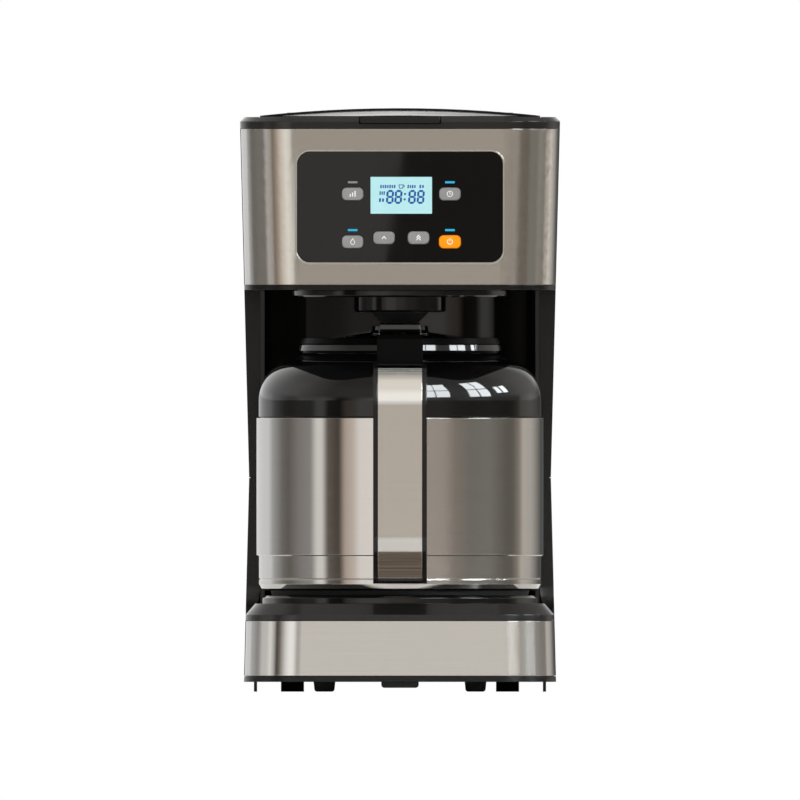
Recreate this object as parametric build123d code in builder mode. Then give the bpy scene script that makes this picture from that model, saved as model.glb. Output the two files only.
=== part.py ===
from build123d import *
import os

os.makedirs("parts", exist_ok=True)

# Drip coffee maker with a vacuum carafe, millimetres.
# X is the width, -Y is the front, +Z is up, and z = 0 is the surface that it stands on.

# Housing: both halves taper from a narrow waist.
WAIST_HALF = 94.3
WAIST_Z = 133.6
TAPER = 0.0257
FRONT_SETBACK = 10.0
REAR_SETBACK = 40.0
FRONT_CORNER = 35.0
REAR_CORNER = 24.0
WALL = 3.4
WIDE = 240.0

# Heights of the housing, from the foot up.
COVER_BOTTOM = 6.1
COVER_TOP = 9.6
BAND_TOP = 44.1
DECK_EDGE = 48.0
DECK_TOP = 55.0
DECK_BEVEL = 5.9
PLATFORM_TOP = 60.0
HEAD_BOTTOM = 251.1
HEAD_FLOOR = 2.5
WRAP_BOTTOM = 254.2
WRAP_TOP = 351.7
RIM_BOTTOM = 352.0
RIM_CREASE = 356.4
RIM_TOP = 359.2
LID_FLAT = 359.8

# Steel skins sit in a step of the housing and end behind the front corners.
SKIN_INSET = 0.4
SKIN_STEP = 1.4
SKIN_REAR = -69.0
SEAM = 0.4
SEAM_DEPTH = 0.8

# Brewing axis, which the carafe, basket and spray head share, and the column.
AXIS_Y = -8.0
COLUMN_FRONT = 33.0
FRONT_PANEL = 2.5
RECESS_R = 94.0
RECESS_WALL = 2.5
COLUMN_FOOT_R = 18.0

# Water parts.
TANK_HALF = 90.0
TANK_RIGHT = 66.0
TANK_FRONT = 37.0
TANK_BOTTOM = 66.0
TANK_TOP = 336.0
TANK_WALL = 2.0
RISER_X = 77.0
RISER_Y = 95.0
RISER_TOP = 340.0
TUBE_R = 5.0
TUBE_BORE = 3.4
HEATER_X = 38.0
HEATER_Z = 36.0
HEATER_END = 52.0

# Control panel.
PANEL_Z = 302.95
GLASS_W = 130.4
GLASS_H = 71.1
GLASS_CORNER = 9.0
GLASS_PROUD = 0.3
GLASS_T = 2.2
KEY_W = 13.2
KEY_H = 7.7
KEY_CORNER = 3.0
KEY_GAP = 0.3
KEY_TRAVEL = 0.8
OUTER_KEY_X = 30.4
INNER_KEY_X = 10.8
CONTROLS_X = 0.8
UPPER_ROW = 8.15
LOWER_ROW = -21.75
CLOCK_ROW = -19.25
BAR_RISE = 7.3
DISPLAY_W = 38.4
DISPLAY_H = 23.0
DISPLAY_ROW = 7.3
DISPLAY_CORNER = 0.4
BOARD_DEPTH = 9.0
BOARD_T = 1.6

# Lid.
LID_HALF = 87.5
LID_FRONT = -97.5
LID_REAR = 128.0
LID_BOTTOM = 352.6
LID_ARCH_R = 826.0
LID_SLOPE = 1.2
LID_GAP = 0.5
HINGE_Y = 134.0
HINGE_Z = 358.0
KNUCKLE_R = 4.0
HINGE_X = 50.0
KNUCKLE_W = 20.0
HINGE_PIN_R = 1.6

# Brew parts.
CHAMBER_R = 66.0
SPRAY_R = 32.0
SPOUT_R = 17.7
VALVE_LIFT = 4.6

# Carafe.
STEEL_R = 89.8
LOWER_R = 88.4
STEEL_WALL = 1.0
STEEL_BOTTOM = 84.8
STEEL_TOP = 171.0
COLLAR_R = 88.5
NECK_TOP = 211.2
HANDLE_HALF = 16.8
INLAY_HALF = 13.8
INLAY_T = 1.0
HANDLE_FRONT = -140.0
LEVER_HALF = 12.6
LEVER_Y = -30.0
LEVER_Z = 223.5
LEVER_PIN_R = 1.5
STEM_Y = -48.0
STEM_R = 2.5

BREW_AXIS = Axis((0, AXIS_Y, 0), (0, 0, 1))
BREW_PLANE = Plane(origin=(0, AXIS_Y, 0), x_dir=(1, 0, 0), z_dir=(0, -1, 0))


def half_width(level):
    """Half the housing's width at one height."""
    return WAIST_HALF + TAPER * abs(level - WAIST_Z)


def outline(level, inset=0.0):
    """Plan outline of the housing at one height, drawn inset from its outer skin."""
    half = half_width(level) - inset
    front = -(half + FRONT_SETBACK)
    rear = half + REAR_SETBACK
    with BuildSketch(Plane.XY.offset(level)) as plan:
        with Locations((0, (front + rear) / 2)):
            Rectangle(2 * half, rear - front)
        fillet(plan.vertices().group_by(Axis.Y)[0], FRONT_CORNER - inset)
        fillet(plan.vertices().group_by(Axis.Y)[-1], REAR_CORNER - inset)
    return plan.sketch


def form(bottom, top, inset=0.0):
    """Solid of the housing's outer form between two heights."""
    levels = [bottom, top]
    if bottom < WAIST_Z < top:
        levels = [bottom, WAIST_Z, top]
    with BuildPart() as solid:
        for low, high in zip(levels, levels[1:]):
            loft([outline(low, inset), outline(high, inset)], ruled=True)
    return solid.part


def block(x_range, y_range, z_range):
    """Plain box between three pairs of limits, used to cut and to bound."""
    with BuildPart() as solid:
        with Locations(tuple((low + high) / 2 for low, high in (x_range, y_range, z_range))):
            Box(x_range[1] - x_range[0], y_range[1] - y_range[0], z_range[1] - z_range[0])
    return solid.part


def turned(*points):
    """Solid of revolution about the brewing axis, from (radius, height) points."""
    with BuildPart() as solid:
        with BuildSketch(BREW_PLANE):
            with BuildLine():
                Polyline(*points, close=True)
            make_face()
        revolve(axis=BREW_AXIS)
    return solid.part


def disc(radius, bottom, top):
    """Solid disc on the brewing axis."""
    return turned((0, bottom), (radius, bottom), (radius, top), (0, top))


def side_profile(half, *points):
    """Prism across X from an outline of (y, z) points."""
    with BuildPart() as solid:
        with BuildSketch(Plane.YZ):
            with BuildLine():
                Polyline(*points, close=True)
            make_face()
        extrude(amount=half, both=True)
    return solid.part


def pipe(radius, corner, *points):
    """Round bar along straight runs joined by arcs."""
    with BuildPart() as solid:
        with BuildLine() as route:
            if len(points) > 2:
                FilletPolyline(*points, radius=corner)
            else:
                Line(*points)
        with BuildSketch(Plane(origin=route.line @ 0, z_dir=route.line % 0)):
            Circle(radius)
        sweep()
    return solid.part


def coil(radius, wire, pitch, bottom, top, y):
    """Compression spring standing on its end."""
    with BuildPart() as solid:
        with BuildLine() as turns:
            Helix(pitch=pitch, height=top - bottom, radius=radius, center=(0, y, bottom))
        with BuildSketch(Plane(origin=turns.line @ 0, z_dir=turns.line % 0)):
            Circle(wire)
        sweep(is_frenet=True)
    return solid.part


def seam_groove(level):
    """Shallow groove around the housing where two mouldings meet."""
    with BuildPart() as solid:
        add(form(level, level + SEAM))
        add(form(level, level + SEAM, SEAM_DEPTH), mode=Mode.SUBTRACT)
    return solid.part


# ---------------------------------------------------------------- shared spaces

front_space = block((-WIDE, WIDE), (-WIDE, COLUMN_FRONT), (DECK_TOP, HEAD_BOTTOM))
skin_space = block((-WIDE, WIDE), (-WIDE, SKIN_REAR), (0, RIM_BOTTOM))
recess = disc(RECESS_R + RECESS_WALL, DECK_TOP, HEAD_BOTTOM)

with BuildPart() as column_cavity:
    add(form(DECK_TOP - WALL, HEAD_BOTTOM + HEAD_FLOOR, WALL))
    add(
        block((-WIDE, WIDE), (COLUMN_FRONT + FRONT_PANEL, WIDE), (0, WRAP_TOP)),
        mode=Mode.INTERSECT,
    )
    add(disc(RECESS_R + RECESS_WALL, DECK_TOP - WALL, WRAP_TOP), mode=Mode.SUBTRACT)

with BuildPart() as column_foot:
    with BuildSketch(Plane.YZ):
        with BuildLine():
            foot_start = COLUMN_FRONT - COLUMN_FOOT_R
            foot_top = DECK_EDGE + COLUMN_FOOT_R
            Line((COLUMN_FRONT, foot_top), (COLUMN_FRONT, WAIST_Z))
            Line((COLUMN_FRONT, WAIST_Z), (WIDE, WAIST_Z))
            Line((WIDE, WAIST_Z), (WIDE, DECK_EDGE))
            Line((WIDE, DECK_EDGE), (foot_start, DECK_EDGE))
            TangentArc((foot_start, DECK_EDGE), (COLUMN_FRONT, foot_top), tangent=(1, 0))
        make_face()
    extrude(amount=WIDE, both=True)

with BuildPart() as base_block:
    add(form(COVER_TOP, DECK_EDGE))
    loft([outline(DECK_EDGE), outline(DECK_TOP, DECK_BEVEL)], ruled=True)

with BuildPart() as tank_plan:
    with BuildSketch(Plane.XY.offset(TANK_BOTTOM)) as tank_outline:
        with Locations(((TANK_RIGHT - TANK_HALF) / 2, (TANK_FRONT + TANK_HALF + REAR_SETBACK) / 2)):
            Rectangle(TANK_RIGHT + TANK_HALF, TANK_HALF + REAR_SETBACK - TANK_FRONT)
        fillet(tank_outline.vertices().group_by(Axis.Y)[-1], REAR_CORNER - WALL)
        with Locations((0, AXIS_Y)):
            Circle(RECESS_R + RECESS_WALL + 1.5, mode=Mode.SUBTRACT)
    extrude(amount=TANK_TOP - TANK_BOTTOM)

# ---------------------------------------------------------------- panel frame

PANEL_Y = -(half_width(PANEL_Z) + FRONT_SETBACK)
panel_face = Plane(origin=(0, PANEL_Y, PANEL_Z), x_dir=(1, 0, 0), z_dir=(0, -1, -TAPER))

keys = {
    "strength_key": (CONTROLS_X - OUTER_KEY_X, UPPER_ROW),
    "program_key": (CONTROLS_X + OUTER_KEY_X, UPPER_ROW),
    "clean_key": (CONTROLS_X - OUTER_KEY_X, LOWER_ROW),
    "power_key": (CONTROLS_X + OUTER_KEY_X, LOWER_ROW),
    "hour_key": (CONTROLS_X - INNER_KEY_X, CLOCK_ROW),
    "minute_key": (CONTROLS_X + INNER_KEY_X, CLOCK_ROW),
}
bars = [
    (CONTROLS_X + side * OUTER_KEY_X, row + BAR_RISE)
    for side in (-1, 1)
    for row in (UPPER_ROW, LOWER_ROW)
]
display_place = [(CONTROLS_X, DISPLAY_ROW)]
BAR_W = 6.2
BAR_H = 1.3


def panel_plate(width, height, corner, outer, inner, places=((0, 0),)):
    """Rounded plates in the panel's tilted frame, between two depths (outward is positive)."""
    with BuildPart() as solid:
        with BuildSketch(panel_face.offset(inner)):
            with Locations(*places):
                RectangleRounded(width, height, corner)
        extrude(amount=outer - inner)
    return solid.part


# ---------------------------------------------------------------- housing

with BuildPart() as base_skin_step:
    add(form(COVER_TOP, BAND_TOP + 0.3))
    add(form(COVER_TOP, BAND_TOP + 0.3, SKIN_STEP), mode=Mode.SUBTRACT)
    add(skin_space, mode=Mode.INTERSECT)

with BuildPart() as deck_hollow:
    add(form(COVER_TOP, DECK_EDGE - WALL, WALL))
    loft(
        [outline(DECK_EDGE - WALL, WALL), outline(DECK_TOP - WALL, WALL + DECK_BEVEL)],
        ruled=True,
    )

INLET_X = 60.0
INLET_Z = 26.0
INLET_R = 6.0

with BuildPart() as base_housing:
    add(base_block.part)
    add(seam_groove(COVER_TOP), mode=Mode.SUBTRACT)
    add(base_skin_step.part, mode=Mode.SUBTRACT)
    add(deck_hollow.part, mode=Mode.SUBTRACT)
    add(column_cavity.part, mode=Mode.SUBTRACT)
    with Locations((INLET_X, half_width(INLET_Z) + REAR_SETBACK, INLET_Z)):
        Cylinder(INLET_R + 0.1, 20, rotation=(90, 0, 0), mode=Mode.SUBTRACT)
base_housing.part.label = "base_housing"
export_step(base_housing.part, "parts/base_housing.step")

with BuildPart() as lower_column:
    add(form(DECK_EDGE, WAIST_Z))
    add(column_foot.part, mode=Mode.INTERSECT)
    add(recess, mode=Mode.SUBTRACT)
    add(base_block.part, mode=Mode.SUBTRACT)
    add(column_cavity.part, mode=Mode.SUBTRACT)
lower_column.part.label = "lower_column"
export_step(lower_column.part, "parts/lower_column.step")

with BuildPart() as base_steel_band:
    add(form(COVER_TOP + SEAM, BAND_TOP, SKIN_INSET))
    add(form(COVER_TOP, DECK_EDGE, SKIN_STEP), mode=Mode.SUBTRACT)
    add(block((-WIDE, WIDE), (-WIDE, SKIN_REAR - 0.2), (0, DECK_EDGE)), mode=Mode.INTERSECT)
base_steel_band.part.label = "base_steel_band"
export_step(base_steel_band.part, "parts/base_steel_band.step")

VENT_COUNT = 7
VENT_PITCH = 9.0
VENT_Y = 60.0
RIB_X = 90.3
RIB_LENGTH = 150.0
POST_TOP = HEATER_Z - TUBE_R
FRONT_TAB_W = 23.4
FRONT_TAB_BOTTOM = 2.4
FRONT_TAB_Y = 80.0
FRONT_TAB_DEPTH = 16.0

with BuildPart() as bottom_cover:
    add(form(COVER_BOTTOM, COVER_TOP))
    with BuildSketch(Plane.XY.offset(COVER_BOTTOM)):
        with Locations((0, VENT_Y)):
            with GridLocations(0, VENT_PITCH, 1, VENT_COUNT):
                SlotOverall(60, 4)
    extrude(amount=COVER_TOP - COVER_BOTTOM, mode=Mode.SUBTRACT)
    with BuildSketch(Plane.XY.offset(COVER_TOP)):
        with GridLocations(2 * HEATER_X, 50, 2, 2):
            Rectangle(10, 6)
    extrude(amount=POST_TOP - COVER_TOP)
    with BuildSketch(Plane.XY.offset(COVER_BOTTOM)):
        with Locations((-RIB_X, 15), (RIB_X, 15)):
            Rectangle(2, RIB_LENGTH)
    extrude(amount=-COVER_BOTTOM)
    with BuildSketch(Plane.XZ.offset(FRONT_TAB_Y)):
        with Locations((0, (COVER_TOP + FRONT_TAB_BOTTOM) / 2)):
            RectangleRounded(FRONT_TAB_W, COVER_TOP - FRONT_TAB_BOTTOM, 2)
    extrude(amount=FRONT_TAB_DEPTH)
bottom_cover.part.label = "bottom_cover"
export_step(bottom_cover.part, "parts/bottom_cover.step")

FRONT_FOOT = (47.2, -78.0)
REAR_FOOT = (67.2, 112.0)

with BuildPart() as feet:
    with BuildSketch(Plane.XY.offset(COVER_BOTTOM)):
        with Locations((-FRONT_FOOT[0], FRONT_FOOT[1]), FRONT_FOOT):
            RectangleRounded(13.6, 13.6, 4)
    extrude(amount=-COVER_BOTTOM, taper=6)
    fillet(feet.faces().sort_by(Axis.Z)[:2].edges(), 1.8)
    with BuildSketch(Plane.XY.offset(COVER_BOTTOM)):
        with Locations((-REAR_FOOT[0], REAR_FOOT[1]), REAR_FOOT):
            RectangleRounded(14.4, 14.4, 1)
    extrude(amount=-COVER_BOTTOM)
feet.part.label = "feet"
export_step(feet.part, "parts/feet.step")

with BuildPart() as carafe_platform:
    add(
        turned(
            (0, DECK_TOP),
            (86.4, DECK_TOP),
            (86.4, PLATFORM_TOP - 1.5),
            (84.9, PLATFORM_TOP),
            (66, PLATFORM_TOP),
            (64, PLATFORM_TOP - 1),
            (0, PLATFORM_TOP - 1),
        )
    )
carafe_platform.part.label = "carafe_platform"
export_step(carafe_platform.part, "parts/carafe_platform.step")

with BuildPart() as recess_panel:
    add(
        turned(
            (RECESS_R, DECK_TOP),
            (RECESS_R + RECESS_WALL, DECK_TOP),
            (RECESS_R + RECESS_WALL, HEAD_BOTTOM),
            (RECESS_R, HEAD_BOTTOM),
        )
    )
    add(
        block((-WIDE, WIDE), (COLUMN_FRONT, WIDE), (DECK_TOP, HEAD_BOTTOM)),
        mode=Mode.INTERSECT,
    )
recess_panel.part.label = "recess_panel"
export_step(recess_panel.part, "parts/recess_panel.step")

with BuildPart() as head_skin_step:
    add(form(WRAP_BOTTOM, WRAP_TOP + 0.3))
    add(form(WRAP_BOTTOM, WRAP_TOP + 0.3, SKIN_STEP), mode=Mode.SUBTRACT)
    add(skin_space, mode=Mode.INTERSECT)

WINDOW_Y = (82.0, 94.0)
WINDOW_Z = (150.0, 242.0)
window_space = block((-WIDE, 0), WINDOW_Y, WINDOW_Z)
glass_space = panel_plate(
    GLASS_W + 0.5, GLASS_H + 0.5, GLASS_CORNER + 0.05, 5, GLASS_PROUD - GLASS_T - 0.1
)
BOARD_W = 118.0
BOARD_H = 62.0
board_space = panel_plate(BOARD_W + 2, BOARD_H + 2, 2, 5, -14)

with BuildPart() as upper_housing:
    add(form(WAIST_Z, RIM_BOTTOM))
    add(seam_groove(WAIST_Z), mode=Mode.SUBTRACT)
    add(front_space, mode=Mode.SUBTRACT)
    add(recess, mode=Mode.SUBTRACT)
    add(head_skin_step.part, mode=Mode.SUBTRACT)
    add(form(HEAD_BOTTOM + HEAD_FLOOR, RIM_BOTTOM, WALL + 0.5), mode=Mode.SUBTRACT)
    add(column_cavity.part, mode=Mode.SUBTRACT)
    add(disc(CHAMBER_R + 0.2, HEAD_BOTTOM, RIM_BOTTOM), mode=Mode.SUBTRACT)
    add(window_space, mode=Mode.SUBTRACT)
    add(glass_space, mode=Mode.SUBTRACT)
    add(board_space, mode=Mode.SUBTRACT)
upper_housing.part.label = "upper_housing"
export_step(upper_housing.part, "parts/upper_housing.step")

with BuildPart() as level_window:
    add(form(WINDOW_Z[0], WINDOW_Z[1]))
    add(form(WINDOW_Z[0], WINDOW_Z[1], WALL), mode=Mode.SUBTRACT)
    add(
        block(
            (-WIDE, 0),
            (WINDOW_Y[0] + 0.1, WINDOW_Y[1] - 0.1),
            (WINDOW_Z[0] + 0.1, WINDOW_Z[1] - 0.1),
        ),
        mode=Mode.INTERSECT,
    )
level_window.part.label = "level_window"
export_step(level_window.part, "parts/level_window.step")

with BuildPart() as head_steel_wrap:
    add(form(WRAP_BOTTOM + 0.2, WRAP_TOP, SKIN_INSET))
    add(form(HEAD_BOTTOM, RIM_BOTTOM, SKIN_STEP), mode=Mode.SUBTRACT)
    add(block((-WIDE, WIDE), (-WIDE, SKIN_REAR - 0.2), (0, RIM_BOTTOM)), mode=Mode.INTERSECT)
    add(glass_space, mode=Mode.SUBTRACT)
head_steel_wrap.part.label = "head_steel_wrap"
export_step(head_steel_wrap.part, "parts/head_steel_wrap.step")

TAB_HALF = 25.0
TAB_Z = (355.3, 359.2)
TAB_ROUND = 1.5
TAB_REACH = 16.0
RIM_INSIDE_REAR = 138.4
LEDGE_Y = 129.0
LEDGE_TOP = 353.4


def knuckles(x_places, length, radius=KNUCKLE_R):
    """Cylinders on the lid's hinge line."""
    with BuildPart() as solid:
        with Locations([(x, HINGE_Y, HINGE_Z) for x in x_places]):
            Cylinder(radius, length, rotation=(0, 90, 0))
    return solid.part


rim_knuckle_x = [
    side * (HINGE_X + step) for side in (-1, 1) for step in (-KNUCKLE_W + 4.5, KNUCKLE_W - 4.5)
]

with BuildPart() as top_rim:
    add(form(RIM_BOTTOM, RIM_CREASE))
    loft([outline(RIM_CREASE), outline(RIM_TOP, 3)], ruled=True)
    with BuildSketch(Plane.XY.offset(RIM_BOTTOM)):
        with Locations((0, (LID_FRONT - LID_GAP + LEDGE_Y) / 2)):
            Rectangle(2 * (LID_HALF + LID_GAP), LEDGE_Y - LID_FRONT + LID_GAP)
    extrude(amount=RIM_TOP, mode=Mode.SUBTRACT)
    add(
        block(
            (-LID_HALF - LID_GAP, LID_HALF + LID_GAP),
            (LEDGE_Y - 1, RIM_INSIDE_REAR),
            (LEDGE_TOP, WIDE + RIM_TOP),
        ),
        mode=Mode.SUBTRACT,
    )
    add(
        block((-LID_HALF, LID_HALF), (RIM_INSIDE_REAR - 1, WIDE), (HINGE_Z - 2, WIDE + RIM_TOP)),
        mode=Mode.SUBTRACT,
    )
    add(
        block((-TAB_HALF - 0.6, TAB_HALF + 0.6), (-WIDE, -96), (TAB_Z[0] - 0.4, WIDE + RIM_TOP)),
        mode=Mode.SUBTRACT,
    )
    for x in rim_knuckle_x:
        add(block((x - 5, x + 5), (HINGE_Y - 2, RIM_INSIDE_REAR), (LEDGE_TOP, HINGE_Z)))
    add(knuckles(rim_knuckle_x, 10))
    add(knuckles((-HINGE_X, HINGE_X), 60, HINGE_PIN_R), mode=Mode.SUBTRACT)
top_rim.part.label = "top_rim"
export_step(top_rim.part, "parts/top_rim.step")

DECK_PLATE = (338.0, 340.5)

with BuildPart() as inner_deck:
    add(form(DECK_PLATE[0], DECK_PLATE[1], WALL + 0.8))
    add(disc(CHAMBER_R - 2, 0, RIM_TOP), mode=Mode.SUBTRACT)
    with BuildSketch(Plane.XY.offset(DECK_PLATE[0])):
        with Locations((-10, 95)):
            RectangleRounded(138, 50, 10)
        with Locations((RISER_X, RISER_Y)):
            Circle(TUBE_R + 0.2)
    extrude(amount=DECK_PLATE[1] - DECK_PLATE[0], mode=Mode.SUBTRACT)
inner_deck.part.label = "inner_deck"
export_step(inner_deck.part, "parts/inner_deck.step")

CORD_PASSAGE_R = 3.6

with BuildPart() as cord_inlet:
    with Locations((INLET_X, half_width(INLET_Z) + REAR_SETBACK - 3, INLET_Z)):
        Cylinder(INLET_R, 10, rotation=(90, 0, 0))
    with Locations((INLET_X, half_width(INLET_Z) + REAR_SETBACK + 1.5, INLET_Z)):
        Cylinder(INLET_R + 3, 2, rotation=(90, 0, 0))
    with Locations((INLET_X, half_width(INLET_Z) + REAR_SETBACK - 2, INLET_Z)):
        Cylinder(CORD_PASSAGE_R, 20, rotation=(90, 0, 0), mode=Mode.SUBTRACT)
cord_inlet.part.label = "cord_inlet"
export_step(cord_inlet.part, "parts/cord_inlet.step")

# ---------------------------------------------------------------- control panel

with BuildPart() as panel_bezel:
    add(
        panel_plate(
            GLASS_W + 0.4, GLASS_H + 0.4, GLASS_CORNER, GLASS_PROUD + 0.3, GLASS_PROUD - GLASS_T
        )
    )
    add(
        panel_plate(GLASS_W - 1.6, GLASS_H - 1.6, GLASS_CORNER - 1, 5, -5),
        mode=Mode.SUBTRACT,
    )
panel_bezel.part.label = "panel_bezel"
export_step(panel_bezel.part, "parts/panel_bezel.step")

with BuildPart() as panel_glass:
    add(
        panel_plate(
            GLASS_W - 1.8, GLASS_H - 1.8, GLASS_CORNER - 1, GLASS_PROUD, GLASS_PROUD - GLASS_T
        )
    )
    add(
        panel_plate(
            KEY_W + 2 * KEY_GAP, KEY_H + 2 * KEY_GAP, KEY_CORNER, 5, -5, list(keys.values())
        ),
        mode=Mode.SUBTRACT,
    )
    add(panel_plate(BAR_W, BAR_H, BAR_H / 2 - 0.05, 5, -5, bars), mode=Mode.SUBTRACT)
    add(
        panel_plate(DISPLAY_W, DISPLAY_H, DISPLAY_CORNER, 5, -5, display_place),
        mode=Mode.SUBTRACT,
    )
panel_glass.part.label = "panel_glass"
export_step(panel_glass.part, "parts/panel_glass.step")

with BuildPart() as display_module:
    add(panel_plate(DISPLAY_W, DISPLAY_H, DISPLAY_CORNER, GLASS_PROUD, -3, display_place))
    add(panel_plate(DISPLAY_W + 4, DISPLAY_H + 3, 1, -2.2, BOARD_T - BOARD_DEPTH, display_place))
display_module.part.label = "display_module"
export_step(display_module.part, "parts/display_module.step")

with BuildPart() as indicator_bars:
    add(panel_plate(BAR_W, BAR_H, BAR_H / 2 - 0.05, GLASS_PROUD + 0.1, -3, bars))
indicator_bars.part.label = "indicator_bars"
export_step(indicator_bars.part, "parts/indicator_bars.step")

KEY_PROUD = 1.2
FLANGE_DEPTH = (-2.5, -3.4)
SWITCH_TOP = FLANGE_DEPTH[1] - KEY_TRAVEL - 0.3

for name, place in keys.items():
    with BuildPart() as key:
        add(panel_plate(KEY_W, KEY_H, KEY_CORNER, KEY_PROUD, FLANGE_DEPTH[0], [place]))
        fillet(key.faces().sort_by(Axis.Y)[0].edges(), 0.7)
        add(panel_plate(KEY_W + 2, KEY_H + 2, KEY_CORNER, *FLANGE_DEPTH, [place]))
    key.part.label = name
    export_step(key.part, f"parts/{name}.step")

with BuildPart() as tact_switches:
    add(
        panel_plate(6, 6, 0.5, SWITCH_TOP - 0.9, BOARD_T - BOARD_DEPTH, list(keys.values()))
    )
    add(panel_plate(3, 3, 1.4, SWITCH_TOP, SWITCH_TOP - 0.9, list(keys.values())))
tact_switches.part.label = "tact_switches"
export_step(tact_switches.part, "parts/tact_switches.step")

with BuildPart() as control_board:
    add(panel_plate(BOARD_W, BOARD_H, 2, BOARD_T - BOARD_DEPTH, -BOARD_DEPTH))
    add(panel_plate(14, 14, 0.5, -BOARD_DEPTH, -BOARD_DEPTH - 2, [(-18, -2)]))
control_board.part.label = "control_board"
export_step(control_board.part, "parts/control_board.step")

# ---------------------------------------------------------------- lid

with BuildPart() as arch:
    with Locations((0, LID_FRONT, LID_FLAT - LID_ARCH_R)):
        Cylinder(LID_ARCH_R, 900, rotation=(90 + LID_SLOPE, 0, 0))


def lid_form(drop=0.0):
    """The lid's outer form: a flat plate with a rising arch, optionally lowered."""
    footprint = ((-LID_HALF, LID_HALF), (LID_FRONT, LID_REAR))
    crown = block(*footprint, (LID_BOTTOM, LID_FLAT + 8)) & (Pos(0, 0, -drop) * arch.part)
    return block(*footprint, (LID_BOTTOM, LID_FLAT - drop)) + crown


INLAY_PLAN = ((-72.0, 72.0), (-86.0, 46.0))
INLAY_DEPTH = 0.8
inlay_space = block(*INLAY_PLAN, (LID_BOTTOM, LID_FLAT + 8))
lowered_lid = lid_form(INLAY_DEPTH)

with BuildPart() as lid_steel_inlay:
    add(lid_form())
    add(inlay_space, mode=Mode.INTERSECT)
    add(lowered_lid, mode=Mode.SUBTRACT)
lid_steel_inlay.part.label = "lid_steel_inlay"
export_step(lid_steel_inlay.part, "parts/lid_steel_inlay.step")

LID_WALL = 3.0

with BuildPart() as lid:
    add(lid_form())
    add(lid_steel_inlay.part, mode=Mode.SUBTRACT)
    add(
        block(
            (-LID_HALF + LID_WALL, LID_HALF - LID_WALL),
            (LID_FRONT + LID_WALL, LID_REAR - LID_WALL),
            (LID_BOTTOM, LID_FLAT - LID_WALL),
        ),
        mode=Mode.SUBTRACT,
    )
    with BuildSketch(Plane.XZ.offset(-LID_FRONT - 1)):
        with Locations((0, sum(TAB_Z) / 2)):
            RectangleRounded(2 * TAB_HALF, TAB_Z[1] - TAB_Z[0], TAB_ROUND)
    extrude(amount=TAB_REACH)
    for x in (-HINGE_X, HINGE_X):
        add(
            block(
                (x - KNUCKLE_W / 2, x + KNUCKLE_W / 2),
                (LID_REAR - 1, HINGE_Y),
                (HINGE_Z - 3, HINGE_Z + 3),
            )
        )
    add(knuckles((-HINGE_X, HINGE_X), KNUCKLE_W))
    add(knuckles((-HINGE_X, HINGE_X), 60, HINGE_PIN_R + 0.1), mode=Mode.SUBTRACT)
lid.part.label = "lid"
export_step(lid.part, "parts/lid.step")

with BuildPart() as hinge_pins:
    add(knuckles((-HINGE_X, HINGE_X), 40, HINGE_PIN_R))
hinge_pins.part.label = "hinge_pins"
export_step(hinge_pins.part, "parts/hinge_pins.step")

COVER_PLATE = (350.5, LID_BOTTOM)
DUCT_Z = (344.0, 350.5)

duct_run = Vector(RISER_X, RISER_Y - AXIS_Y)

with BuildPart() as lid_inner_cover:
    add(block((-84, 84), (-94, 124), COVER_PLATE))
    with BuildSketch(Plane.XY.offset(DUCT_Z[0])):
        with Locations((RISER_X / 2, (RISER_Y + AXIS_Y) / 2)):
            SlotCenterToCenter(duct_run.length, 16, rotation=duct_run.get_signed_angle(Vector(1, 0)))
    extrude(amount=DUCT_Z[1] - DUCT_Z[0])
    with Locations((RISER_X, RISER_Y, DUCT_Z[0])):
        Cylinder(TUBE_BORE, 8, mode=Mode.SUBTRACT)
lid_inner_cover.part.label = "lid_inner_cover"
export_step(lid_inner_cover.part, "parts/lid_inner_cover.step")

SPRAY_BOTTOM = 338.0

with BuildPart() as spray_head:
    add(disc(SPRAY_R, SPRAY_BOTTOM, DUCT_Z[0]))
    with BuildSketch(Plane.XY.offset(SPRAY_BOTTOM)):
        with Locations((0, AXIS_Y)):
            for ring, count in ((9, 6), (17, 10), (25, 14)):
                with PolarLocations(ring, count):
                    Circle(1.2)
    extrude(amount=3, mode=Mode.SUBTRACT)
spray_head.part.label = "spray_head"
export_step(spray_head.part, "parts/spray_head.step")

# ---------------------------------------------------------------- water parts

TANK_OUTLET = (-HEATER_X, 100.0)

with BuildPart() as water_tank:
    add(tank_plan.part)
    offset(amount=-TANK_WALL, openings=water_tank.faces().sort_by(Axis.Z)[-1])
    with Locations((*TANK_OUTLET, TANK_BOTTOM - 3)):
        Cylinder(TUBE_R, 8)
    with Locations((*TANK_OUTLET, TANK_BOTTOM - 3)):
        Cylinder(TUBE_BORE, 20, mode=Mode.SUBTRACT)
water_tank.part.label = "water_tank"
export_step(water_tank.part, "parts/water_tank.step")

with BuildPart() as heater:
    with BuildLine(Plane.XY.offset(HEATER_Z)) as heater_run:
        Line((HEATER_X, HEATER_END), (HEATER_X, -20))
        CenterArc((0, -20), HEATER_X, 0, -180)
        Line((-HEATER_X, -20), (-HEATER_X, HEATER_END))
    with BuildSketch(Plane(origin=(HEATER_X, HEATER_END, HEATER_Z), z_dir=(0, -1, 0))):
        Circle(TUBE_R)
    sweep(path=heater_run.wires()[0])
heater.part.label = "heater"
export_step(heater.part, "parts/heater.step")

with BuildPart() as thermostat:
    with Locations((0, -20 - HEATER_X, HEATER_Z + TUBE_R + 2)):
        Cylinder(7, 4)
thermostat.part.label = "thermostat"
export_step(thermostat.part, "parts/thermostat.step")

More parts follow.
